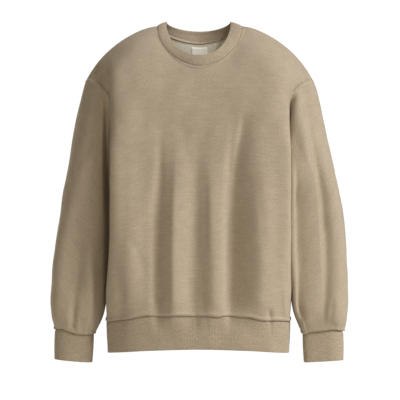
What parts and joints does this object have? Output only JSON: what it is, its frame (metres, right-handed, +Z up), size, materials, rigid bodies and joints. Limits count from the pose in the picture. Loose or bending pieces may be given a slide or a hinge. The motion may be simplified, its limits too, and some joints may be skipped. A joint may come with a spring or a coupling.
{
  "type": "crewneck sweatshirt",
  "caption": "Hollow, filled-out fleece sweatshirt with a ribbed crew neckband, hem band and cuffs, dropped shoulders and both arms hanging.",
  "frame": {"origin": "between the shoulders, level with the ends of the shoulder seams at the sides of the neck", "axes": "+Z up, -Y out of the garment's front, +X to the wearer's left"},
  "size_m": [0.636, 0.2527, 0.731],
  "materials": {
    "fleece": "matt cotton fleece, smooth knit outside and brushed inside",
    "rib": "matt fine cotton rib, doubled",
    "label": "woven tape, bare"
  },
  "bodies": {
    "root": {"front": "fleece", "back": "fleece", "sleeve_left": "fleece", "sleeve_right": "fleece", "cuff_left": "rib", "cuff_right": "rib", "hem_band": "rib", "neckband": "rib", "neck_label": "label"}
  },
  "joints": []
}
